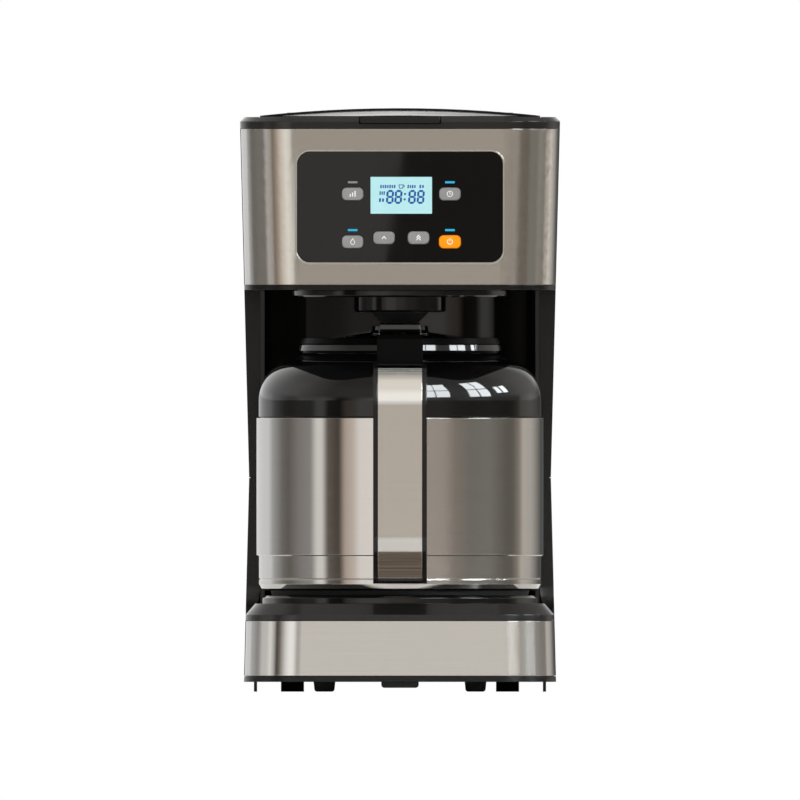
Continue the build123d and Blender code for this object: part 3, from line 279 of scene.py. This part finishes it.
def studio_world():
    """White backdrop for the lens, and banded studio walls for light and reflections."""
    world = bpy.data.worlds.new("studio")
    bpy.context.scene.world = world
    world.use_nodes = True
    tree = world.node_tree
    tree.nodes.clear()
    add, link = tree.nodes.new, tree.links.new
    way = add("ShaderNodeTexCoord")
    split = add("ShaderNodeSeparateXYZ")
    link(way.outputs["Generated"], split.inputs[0])
    minus_y = combine(tree, "MULTIPLY", split.outputs["Y"], -1)
    turn = combine(tree, "ARCTAN2", split.outputs["X"], minus_y)
    around = map_range(tree, turn, (-math.pi, math.pi))
    walls = None
    for ring, edges in zip((LOW_WALLS, LEVEL_WALLS, HIGH_WALLS, UPPER_WALLS), (None, *RING_EDGES)):
        colours = add("ShaderNodeValToRGB")
        fill_ramp(colours.color_ramp, [((a + 180) / 360, c) for a, c in ring])
        link(around, colours.inputs[0])
        if walls is None:
            walls = colours.outputs[0]
            continue
        joined = add("ShaderNodeMixRGB")
        link(map_range(tree, split.outputs["Z"], edges), joined.inputs[0])
        link(walls, joined.inputs[1])
        link(colours.outputs[0], joined.inputs[2])
        walls = joined.outputs[0]
    height = add("ShaderNodeValToRGB")
    fill_ramp(height.color_ramp, WALL_HEIGHTS)
    link(map_range(tree, split.outputs["Z"], (-1, 1)), height.inputs[0])
    mix = add("ShaderNodeMixRGB")
    mix.blend_type = "MULTIPLY"
    mix.inputs[0].default_value = 1
    link(walls, mix.inputs[1])
    link(height.outputs[0], mix.inputs[2])
    studio = add("ShaderNodeBackground")
    link(mix.outputs[0], studio.inputs["Color"])
    panes = add("ShaderNodeBackground")
    panes.inputs["Color"].default_value = (*PANE_COLOUR, 1)
    panes.inputs["Strength"].default_value = PANE_STRENGTH
    backdrop = add("ShaderNodeBackground")
    backdrop.inputs["Color"].default_value = (1, 1, 1, 1)
    path = add("ShaderNodeLightPath")
    mask = window_mask(tree, turn, split.outputs["Z"])
    lit_walls = add("ShaderNodeMixShader")
    link(combine(tree, "MULTIPLY", path.outputs["Is Glossy Ray"], mask), lit_walls.inputs[0])
    link(studio.outputs[0], lit_walls.inputs[1])
    link(panes.outputs[0], lit_walls.inputs[2])
    choose = add("ShaderNodeMixShader")
    link(path.outputs["Is Camera Ray"], choose.inputs[0])
    link(lit_walls.outputs[0], choose.inputs[1])
    link(backdrop.outputs[0], choose.inputs[2])
    out = add("ShaderNodeOutputWorld")
    link(choose.outputs[0], out.inputs[0])


studio_world()

# ------------------------------------------------------------------ materials

# Most of a noise's values lie in this range.
NOISE_RANGE = (0.3, 0.7)


class Finish:
    """A material under construction, with short calls for its usual nodes."""

    def __init__(self, name, colour, roughness, **values):
        self.material = bpy.data.materials.new(name)
        self.material.use_nodes = True
        self.tree = self.material.node_tree
        self.shader = self.tree.nodes["Principled BSDF"]
        self.colour = colour
        self.set("Base Color", (*colour, 1))
        self.set("Roughness", roughness)
        for key, value in values.items():
            self.set(key.replace("_", " "), value)
        self.coords = self.tree.nodes.new("ShaderNodeTexCoord").outputs["Object"]

    def set(self, socket, value):
        self.shader.inputs[socket].default_value = value

    def noise(self, scale, stretch=(1, 1, 1), detail=4.0):
        """Noise in the object's own metres, stretched along the axes."""
        mapping = self.tree.nodes.new("ShaderNodeMapping")
        mapping.inputs["Scale"].default_value = stretch
        self.tree.links.new(self.coords, mapping.inputs["Vector"])
        made = self.tree.nodes.new("ShaderNodeTexNoise")
        made.inputs["Scale"].default_value = scale
        made.inputs["Detail"].default_value = detail
        self.tree.links.new(mapping.outputs[0], made.inputs["Vector"])
        return made.outputs["Fac"]

    def vary_colour(self, value, amount):
        """Darkens and lightens the colour a little where value says."""
        ramp = self.tree.nodes.new("ShaderNodeValToRGB")
        low = [c * (1 - amount) for c in self.colour]
        high = [min(1, c * (1 + amount)) for c in self.colour]
        fill_ramp(ramp.color_ramp, list(zip(NOISE_RANGE, (low, high))))
        self.tree.links.new(value, ramp.inputs[0])
        self.tree.links.new(ramp.outputs[0], self.shader.inputs["Base Color"])

    def vary_roughness(self, value, low, high):
        roughness = map_range(self.tree, value, NOISE_RANGE, (low, high))
        self.tree.links.new(roughness, self.shader.inputs["Roughness"])

    def bump(self, value, depth, strength=1.0, edge=0.0):
        """Raises the surface by depth metres, over edges softened by a radius."""
        made = self.tree.nodes.new("ShaderNodeBump")
        made.inputs["Strength"].default_value = strength
        made.inputs["Distance"].default_value = depth
        self.tree.links.new(value, made.inputs["Height"])
        if edge:
            soft = self.tree.nodes.new("ShaderNodeBevel")
            soft.samples = 4
            soft.inputs["Radius"].default_value = edge
            self.tree.links.new(soft.outputs[0], made.inputs["Normal"])
        self.tree.links.new(made.outputs[0], self.shader.inputs["Normal"])


def moulded(name, colour, roughness, grain=0.00002, scale=2600, edge=0.0005):
    """Moulded plastic with a fine spark-eroded texture and faint uneven sheen."""
    made = Finish(name, colour, roughness)
    made.vary_colour(made.noise(9), 0.10)
    made.vary_roughness(made.noise(30), roughness - 0.04, roughness + 0.05)
    made.bump(made.noise(scale, detail=2), grain, 0.6, edge)
    return made.material


def satin(name, colour, roughness, specular=0.4, edge=0.0006):
    """Smooth plastic with a soft sheen, a faint orange-peel and rounded edges."""
    made = Finish(name, colour, roughness, Specular_IOR_Level=specular)
    made.vary_colour(made.noise(9), 0.10)
    made.vary_roughness(made.noise(30), roughness * 0.92, roughness * 1.1)
    made.bump(made.noise(1400, detail=2), 0.000004, 0.4, edge)
    return made.material


def glossy(name, colour, roughness=0.045, edge=0.0005, specular=0.5):
    """Polished plastic with a faint orange-peel and fingerprints in its gloss."""
    made = Finish(name, colour, roughness, Specular_IOR_Level=specular)
    made.vary_colour(made.noise(12), 0.10)
    made.vary_roughness(made.noise(55), roughness * 0.7, roughness * 1.8)
    made.bump(made.noise(60, detail=1), 0.000004, 0.4, edge)
    return made.material


def brushed(name, colour, roughness=0.10, grain=(3, 3, 900), anisotropy=0.5):
    """Steel brushed level, round the upright axis: fine lines with long faint streaks."""
    made = Finish(name, colour, roughness, Metallic=1.0, Anisotropic=anisotropy)
    made.set("Anisotropic Rotation", 0.25)
    lines = made.noise(4, grain, 3)
    made.vary_colour(lines, 0.02)
    made.vary_roughness(lines, roughness - 0.01, roughness + 0.012)
    made.bump(lines, 0.000002, 0.06, 0.0003)
    tangent = made.tree.nodes.new("ShaderNodeTangent")
    tangent.direction_type = "RADIAL"
    tangent.axis = "Z"
    made.tree.links.new(tangent.outputs[0], made.shader.inputs["Tangent"])
    return made.material


def plain_metal(name, colour, roughness, scale=400):
    """Turned or plated metal with a faint mottled finish."""
    made = Finish(name, colour, roughness, Metallic=1.0)
    made.vary_colour(made.noise(40), 0.05)
    made.vary_roughness(made.noise(160), roughness * 0.8, roughness * 1.3)
    made.bump(made.noise(scale), 0.000008, 0.3, 0.0002)
    return made.material


def rubber(name, colour, roughness=0.7):
    made = Finish(name, colour, roughness)
    made.vary_colour(made.noise(60), 0.15)
    made.bump(made.noise(1500), 0.00003, 0.6, 0.0005)
    return made.material


def clear(name, colour, roughness, transmission):
    """Clear or cloudy plastic."""
    made = Finish(name, colour, roughness, Transmission_Weight=transmission, IOR=1.49)
    made.vary_roughness(made.noise(80), roughness * 0.8, roughness * 1.3)
    made.bump(made.noise(900), 0.000006, 0.3)
    return made.material


def lit(name, colour, glow, strength):
    """A lit face with a faint unevenness in its light."""
    made = Finish(name, colour, 0.25)
    made.set("Emission Color", (*glow, 1))
    made.set("Emission Strength", strength)
    made.vary_colour(made.noise(140), 0.06)
    made.bump(made.noise(2500), 0.000004, 0.3)
    return made.material


def backlit(name, colour, glow, strength):
    """Satin key cap that its lamp lights faintly from behind."""
    made = Finish(name, colour, 0.36, Specular_IOR_Level=0.25)
    made.set("Emission Color", (*glow, 1))
    made.set("Emission Strength", strength)
    made.vary_colour(made.noise(90), 0.05)
    made.vary_roughness(made.noise(300), 0.32, 0.42)
    made.bump(made.noise(1800, detail=2), 0.000008, 0.5, 0.0004)
    return made.material


def woven_mesh(name):
    """Gold-tone filter cloth: two crossed sets of fine wires."""
    made = Finish(name, (0.72, 0.52, 0.22), 0.34, Metallic=1.0)
    heights = []
    for axis in ("X", "Z"):
        wires = made.tree.nodes.new("ShaderNodeTexWave")
        wires.bands_direction = axis
        wires.inputs["Scale"].default_value = 420
        made.tree.links.new(made.coords, wires.inputs["Vector"])
        heights.append(wires.outputs["Fac"])
    made.bump(combine(made.tree, "MAXIMUM", *heights), 0.0002, 0.9)
    made.vary_colour(made.noise(200), 0.12)
    return made.material


BLACK = (0.004, 0.004, 0.0043)
CHARCOAL = (0.016, 0.0156, 0.0152)
STEEL = (0.62, 0.605, 0.58)

housing_black = satin("housing_black", BLACK, 0.2, 0.3)
deck_black = satin("deck_black", CHARCOAL, 0.14)
rim_black = satin("rim_black", CHARCOAL, 0.08)
gloss_black = glossy("gloss_black", BLACK)
recess_black = glossy("recess_black", BLACK, specular=0.42)
lid_black = satin("lid_black", BLACK, 0.4, 0.12)
handle_black = satin("handle_black", BLACK, 0.12, edge=0.0012)
# Painted shade: a darker, duller copy of the black plastic for faces that lie in shade.
painted_shade_black = satin("painted_shade_black", (0.003, 0.003, 0.003), 0.3, 0.03)
inner_black = moulded("inner_black", (0.03, 0.03, 0.03), 0.5)
head_steel = brushed("head_steel", STEEL)
base_steel = brushed("base_steel", STEEL)
carafe_steel = brushed("carafe_steel", STEEL, 0.09, anisotropy=0.2)
inlay_steel = brushed("inlay_steel", STEEL)
lid_steel = brushed("lid_steel", STEEL, 0.16, (3, 700, 3))
liner_steel = brushed("liner_steel", (0.60, 0.60, 0.59), 0.22)
bright_trim = plain_metal("bright_trim", (0.75, 0.74, 0.72), 0.12)
plated = plain_metal("plated", (0.55, 0.55, 0.55), 0.3)
cast_alloy = plain_metal("cast_alloy", (0.55, 0.55, 0.56), 0.45, 900)
panel_gloss = glossy("panel_gloss", (0.003, 0.003, 0.0033), 0.03, 0.0003, 0.18)
key_grey = backlit("key_grey", (0.29, 0.29, 0.295), (0.30, 0.30, 0.31), 0.08)
key_orange = backlit("key_orange", (0.95, 0.27, 0.0), (1.0, 0.29, 0.0), 0.40)
foot_rubber = rubber("foot_rubber", (0.007, 0.007, 0.007), 0.8)
silicone = rubber("silicone", (0.52, 0.51, 0.48), 0.5)
smoked_window = clear("smoked_window", (0.35, 0.38, 0.40), 0.08, 0.8)
cloudy_tank = clear("cloudy_tank", (0.62, 0.65, 0.66), 0.45, 0.5)
board_green = moulded("board_green", (0.02, 0.12, 0.05), 0.35, 0.00001, 900)
display_glow = lit("display_glow", (0.16, 0.24, 0.25), (0.42, 0.76, 0.79), 0.80)
bar_blue = lit("bar_blue", (0.01, 0.08, 0.12), (0.01, 0.42, 0.70), 0.90)
bar_off = lit("bar_off", (0.20, 0.20, 0.20), (0.1, 0.1, 0.1), 0.6)
segment_blue = lit("segment_blue", (0.001, 0.04, 0.20), (0.0, 0.06, 0.28), 0.6)
mark_white = lit("mark_white", (0.72, 0.72, 0.70), (0.6, 0.6, 0.6), 0.5)
gold_mesh = woven_mesh("gold_mesh")

FINISHES = {
    housing_black: "lower_column upper_housing bottom_cover",
    deck_black: "base_housing",
    rim_black: "top_rim",
    gloss_black: "carafe_platform carafe_collar carafe_lid thumb_lever",
    recess_black: "recess_panel brew_chamber",
    lid_black: "lid",
    handle_black: "carafe_handle",
    inner_black: "inner_deck lid_inner_cover spray_head filter_basket riser_tube pour_valve "
    "carafe_lid_base tact_switches",
    head_steel: "head_steel_wrap",
    base_steel: "base_steel_band",
    carafe_steel: "carafe_body carafe_lower_shell",
    inlay_steel: "handle_inlay",
    lid_steel: "lid_steel_inlay",
    liner_steel: "carafe_liner liner_base liner_neck",
    bright_trim: "panel_bezel",
    plated: "board_screws hinge_pins thermostat drip_spring pour_spring lever_pin",
    cast_alloy: "heater",
    panel_gloss: "panel_glass",
    key_grey: "strength_key program_key clean_key hour_key minute_key",
    key_orange: "power_key",
    foot_rubber: "feet cord_inlet carafe_base_pad",
    silicone: "inlet_hose outlet_hose riser_seal drip_valve carafe_lid_seal",
    smoked_window: "level_window",
    cloudy_tank: "water_tank",
    board_green: "control_board power_board",
    display_glow: "display_module",
    bar_blue: "indicator_bars",
    gold_mesh: "mesh_filter",
}


def dress(node, finish):
    """Gives a CAD node its one material."""
    slots = nodes[node].data.materials
    slots.clear()
    slots.append(finish)


for finish, names in FINISHES.items():
    for node in names.split():
        dress(node, finish)

# ------------------------------------------------------------------ floor and cards

FLOOR_R = 1.6
FLOOR_DROP = 0.0002


def floor():
    """Pale round floor, a hair under the feet."""
    made = Finish("floor", (0.78, 0.775, 0.76), 0.6)
    made.vary_colour(made.noise(3), 0.01)
    shape = bmesh.new()
    bmesh.ops.create_circle(shape, cap_ends=True, segments=96, radius=FLOOR_R)
    mesh = bpy.data.meshes.new("floor")
    shape.to_mesh(mesh)
    shape.free()
    mesh.materials.append(made.material)
    piece = bpy.data.objects.new("floor", mesh)
    piece.location.z = -FLOOR_DROP
    bpy.context.scene.collection.objects.link(piece)


def reflection_card(name, corners, colour, streaks=0.0, only_for=None):
    """Card of the studio that only reflections see, from its front or in one CAD node."""
    made = bpy.data.materials.new(name)
    made.use_nodes = True
    tree = made.node_tree
    tree.nodes.clear()
    glow = tree.nodes.new("ShaderNodeEmission")
    glow.inputs["Color"].default_value = (*colour, 1)
    if streaks:
        coords = tree.nodes.new("ShaderNodeTexCoord")
        mapping = tree.nodes.new("ShaderNodeMapping")
        mapping.inputs["Scale"].default_value = (2, 110, 1)
        tree.links.new(coords.outputs["Object"], mapping.inputs["Vector"])
        noise = tree.nodes.new("ShaderNodeTexNoise")
        noise.inputs["Scale"].default_value = 3
        tree.links.new(mapping.outputs[0], noise.inputs["Vector"])
        reach = (1 - streaks, 1 + streaks)
        strength = map_range(tree, noise.outputs["Fac"], NOISE_RANGE, reach)
        tree.links.new(strength, glow.inputs["Strength"])
    through = tree.nodes.new("ShaderNodeBsdfTransparent")
    if only_for:
        both = tree.nodes.new("ShaderNodeAddShader")
        shaders = both.inputs
    else:
        both = tree.nodes.new("ShaderNodeMixShader")
        sides = tree.nodes.new("ShaderNodeNewGeometry")
        tree.links.new(sides.outputs["Backfacing"], both.inputs[0])
        shaders = both.inputs[1:]
    tree.links.new(glow.outputs[0], shaders[0])
    tree.links.new(through.outputs[0], shaders[1])
    out = tree.nodes.new("ShaderNodeOutputMaterial")
    tree.links.new(both.outputs[0], out.inputs[0])
    mesh = bpy.data.meshes.new(name)
    mesh.from_pydata(corners, [], [range(len(corners))])
    mesh.materials.append(made)
    card = bpy.data.objects.new(name, mesh)
    bpy.context.scene.collection.objects.link(card)
    card.visible_camera = card.visible_diffuse = card.visible_shadow = False
    card.visible_transmission = card.visible_volume_scatter = False
    if only_for:
        takers = bpy.data.collections.new(name)
        takers.objects.link(nodes[only_for])
        card.light_linking.receiver_collection = takers


floor()

# The handle inlay's lower bend mirrors a dark wooden edge in front of the base.
EDGE_HALF = 0.02
EDGE_FRONT = -0.185
EDGE_BACK = -0.113
EDGE_Z = 0.052
reflection_card(
    "edge_card",
    [
        (-EDGE_HALF, EDGE_FRONT, EDGE_Z),
        (EDGE_HALF, EDGE_FRONT, EDGE_Z),
        (EDGE_HALF, EDGE_BACK, EDGE_Z),
        (-EDGE_HALF, EDGE_BACK, EDGE_Z),
    ],
    (0.17, 0.135, 0.105),
    0.5,
)

# A window's slanting edge crosses the panel glass: the glass tips down, so the card is lower.
PANEL_TILT = 0.0257
CARD_Y = -1.2
CARD_LEFT = -0.15
CARD_SLANT = (-0.0105, 0.0035)
CARD_SPARE = 0.01
glass_low, glass_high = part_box("panel_glass")
card_drop = (glass_low.y - CARD_Y) * math.tan(2 * math.atan(PANEL_TILT))
card_low = glass_low.z - card_drop - CARD_SPARE
card_high = glass_high.z - card_drop + CARD_SPARE
reflection_card(
    "panel_card",
    [
        (CARD_LEFT, CARD_Y, card_low),
        (CARD_SLANT[0], CARD_Y, card_low),
        (CARD_SLANT[1], CARD_Y, card_high),
        (CARD_LEFT, CARD_Y, card_high),
    ],
    (1.6, 1.56, 1.5),
    only_for="panel_glass",
)

# ------------------------------------------------------------------ flat marks on the panel

tilt_length = math.hypot(1, PANEL_TILT)
PANEL_UP = Vector((0, -PANEL_TILT, 1)) / tilt_length
PANEL_OUT = Vector((0, -1, -PANEL_TILT)) / tilt_length


def panel_matrix(node, face_height):
    """Frame on a panel piece's front face: x right, y up, z outward."""
    low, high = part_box(node)
    centre = (low + high) / 2
    centre.y = low.y + PANEL_TILT * face_height / 2
    axes = Matrix((Vector((1, 0, 0)), PANEL_UP, PANEL_OUT)).transposed().to_4x4()
    return Matrix.Translation(centre) @ axes


RIBBON_OVERRUN = 0.6


def ribbon(points, width, closed=False):
    """Outline pieces of a line of even width, as four-cornered patches, in millimetres."""
    ends = list(points) + ([points[0]] if closed else [])
    patches = []
    for (x0, y0), (x1, y1) in zip(ends, ends[1:]):
        along = Vector((x1 - x0, y1 - y0)).normalized() * (width / 2)
        side = Vector((-along.y, along.x))
        start = Vector((x0, y0)) - along * RIBBON_OVERRUN
        end = Vector((x1, y1)) + along * RIBBON_OVERRUN
        patches.append([start + side, start - side, end - side, end + side])
    return patches


def arc(radius, start, end, count=24, centre=(0, 0)):
    """Points on an arc, angles in degrees from the right, anticlockwise."""
    return [
        (
            centre[0] + radius * math.cos(math.radians(start + (end - start) * i / count)),
            centre[1] + radius * math.sin(math.radians(start + (end - start) * i / count)),
        )
        for i in range(count + 1)
    ]


MARK_T = 0.00006
MARK_SUNK = 0.00004


def mark(name, patches, place, finish, body):
    """Raised flat mark made of patches, standing on the frame place."""
    shape = bmesh.new()
    for patch in patches:
        low = [shape.verts.new((p[0] * MM, p[1] * MM, -MARK_SUNK)) for p in patch]
        high = [shape.verts.new((p[0] * MM, p[1] * MM, MARK_T)) for p in patch]
        shape.faces.new(high)
        shape.faces.new(low[::-1])
        for i in range(len(patch)):
            j = (i + 1) % len(patch)
            shape.faces.new((low[i], low[j], high[j], high[i]))
    bmesh.ops.recalc_face_normals(shape, faces=shape.faces)
    mesh = bpy.data.meshes.new(name)
    shape.to_mesh(mesh)
    shape.free()
    mesh.transform(place)
    mesh.materials.append(finish)
    piece = bpy.data.objects.new(name, mesh)
    bpy.context.scene.collection.objects.link(piece)
    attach(piece, body)


KEY_FACE = 7.7 * MM
DISPLAY_FACE = 23.0 * MM

ICONS = {
    "strength_key": [
        patch
        for i, tall in enumerate((1.2, 2.2, 3.2))
        for patch in ribbon([(1.5 * (i - 1), -1.6), (1.5 * (i - 1), tall - 1.6)], 0.75)
    ],
    "program_key": ribbon(arc(1.7, 0, 360), 0.45, True)
    + ribbon([(0, 1.0), (0, 0), (0.8, -0.3)], 0.4),
    "clean_key": ribbon(
        [(0, 2.0), (-0.9, 0.5)] + arc(1.25, 160, 380, 16, (0, -0.5)) + [(0.9, 0.5), (0, 2.0)], 0.45
    ),
    "power_key": ribbon(arc(1.6, 125, 415), 0.5) + ribbon([(0, 0.3), (0, 2.1)], 0.5),
    "hour_key": ribbon([(-1.2, -0.7), (0, 0.8), (1.2, -0.7)], 0.6),
    "minute_key": ribbon([(-1.2, -1.5), (0, 0), (1.2, -1.5)], 0.6)
    + ribbon([(-1.2, 0.0), (0, 1.5), (1.2, 0.0)], 0.6),
}

for key, patches in ICONS.items():
    mark(key + "_icon", patches, panel_matrix(key, KEY_FACE), mark_white, key)

# The display's marks are in millimetres from its middle.
DIGIT_W = 3.4
DIGIT_H = 7.35
SEGMENT = 1.3
SEGMENT_GAP = 0.12
SLANT = 0.07


def segment(start, end):
    """One display segment with pointed ends."""
    a, b = Vector(start), Vector(end)
    along = (b - a).normalized()
    side = Vector((-along.y, along.x)) * SEGMENT / 2
    a, b = a + along * SEGMENT_GAP, b - along * SEGMENT_GAP
    tip = along * SEGMENT / 2
    return [a, a + tip - side, b - tip - side, b, b - tip + side, a + tip + side]


def digit(x, y):
    """All seven segments of a digit whose lower left corner is at x, y."""
    w, h = DIGIT_W, DIGIT_H
    corners = [(0, 0), (w, 0), (0, h / 2), (w, h / 2), (0, h), (w, h)]
    pairs = [(0, 1), (2, 3), (4, 5), (0, 2), (2, 4), (1, 3), (3, 5)]
    patches = []
    for i, j in pairs:
        patch = segment(corners[i], corners[j])
        patches.append([(x + p.x + SLANT * p.y, y + p.y) for p in patch])
    return patches


def slanted(left, bottom, width, height):
    """Block leaning like the digits."""
    return [
        (left + SLANT * y, y) if x == 0 else (left + width + SLANT * y, y)
        for x, y in ((0, bottom), (1, bottom), (1, bottom + height), (0, bottom + height))
    ]


def row_of_bars(left, right, count, bottom, height):
    """Even upright bars between two ends, standing for a word."""
    pitch = (right - left) / count
    return [
        slanted(left + i * pitch, bottom + 0.15 * (i % 2), pitch * 0.62, height - 0.3 * (i % 2))
        for i in range(count)
    ]


def display_marks():
    """Clock digits, a colon, day and night signs, and a row of small signs."""
    base = -4.8
    patches = []
    for x in (-9.0, -3.75, 4.8, 10.2):
        patches += digit(x, base)
    for y in (base + 1.5, base + 4.9):
        patches.append(slanted(1.7, y, 1.2, 1.2))
    for y, bars_here in ((0.1, 3), (base + 0.5, 2)):
        patches += row_of_bars(-13.7, -9.9, bars_here, y, 2.3)
    row, tall = 4.3, 2.1
    patches += row_of_bars(-13.5, -3.5, 7, row, tall)
    patches += ribbon(
        [(-1.5, row + tall), (-1.0, row), (0.8, row), (1.3, row + tall), (-1.5, row + tall)], 0.45
    )
    patches += ribbon(arc(0.6, -80, 80, 8, (1.35, row + 1.2)), 0.4)
    patches += row_of_bars(3.5, 9.1, 4, row, tall)
    patches += row_of_bars(11.0, 14.3, 2, row, tall)
    return patches


mark(
    "display_digits",
    display_marks(),
    panel_matrix("display_module", DISPLAY_FACE),
    segment_blue,
    "machine",
)

# ------------------------------------------------------------------ second finishes


def second_finish(node, finish, chosen):
    """Gives the faces of a node whose middles are chosen a finish of their own."""
    mesh = nodes[node].data
    mesh.materials.append(finish)
    for face in mesh.polygons:
        if chosen(face.center):
            face.material_index = len(mesh.materials) - 1


# The indicator over the strength key is off.
bar_low, bar_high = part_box("indicator_bars")
bar_middle = (bar_low + bar_high) / 2
second_finish(
    "indicator_bars", bar_off, lambda middle: middle.x < 0 and middle.z > bar_middle.z
)

# The block over the grip, the neck and the slope over the pouring lid's rim get painted shade:
# a darker, almost unreflecting copy of the black plastic on faces that lie in shade. The
# lid's finger tab is polished.
BLOCK_FROM_Z = 0.2068
NECK_FROM_Z = 0.2078
RIM_SLOPE_Z = 0.2174
RIM_SLOPE_R = 0.0613
CARAFE_AXIS_Y = -0.008
TAB_FRONT_Y = -0.0976
second_finish("carafe_handle", painted_shade_black, lambda middle: middle.z > BLOCK_FROM_Z)
second_finish("carafe_collar", painted_shade_black, lambda middle: middle.z > NECK_FROM_Z)
second_finish(
    "carafe_lid",
    painted_shade_black,
    lambda middle: middle.z > RIM_SLOPE_Z
    and math.hypot(middle.x, middle.y - CARAFE_AXIS_Y) > RIM_SLOPE_R,
)
second_finish("lid", recess_black, lambda middle: middle.y < TAB_FRONT_Y)

# ------------------------------------------------------------------ lid ridge


def tube(name, points, radius, finish, body):
    """Round bead along points."""
    line = bpy.data.curves.new(name, "CURVE")
    line.dimensions = "3D"
    line.bevel_depth = radius
    line.bevel_resolution = 3
    line.use_fill_caps = True
    spline = line.splines.new("POLY")
    spline.points.add(len(points) - 1)
    for point, place in zip(spline.points, points):
        point.co = (*place, 1)
    line.materials.append(finish)
    piece = bpy.data.objects.new(name, line)
    bpy.context.scene.collection.objects.link(piece)
    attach(piece, body)


# A low ridge follows the lid's arch just behind the steel inlay, as high as the lid's rear.
RIDGE_R = 0.0008
RIDGE_HALF = 0.0855
RIDGE_STEPS = 40
LID_ARCH_R = 0.826
ridge_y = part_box("lid_steel_inlay")[1].y + 1.5 * RIDGE_R
ridge_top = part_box("lid")[1].z - RIDGE_R
ridge_points = []
for step in range(RIDGE_STEPS + 1):
    across = RIDGE_HALF * (2 * step / RIDGE_STEPS - 1)
    arch_drop = LID_ARCH_R - math.sqrt(LID_ARCH_R**2 - across**2)
    ridge_points.append((across, ridge_y, ridge_top - arch_drop))
tube("lid_ridge", ridge_points, RIDGE_R, lid_black, "lid")
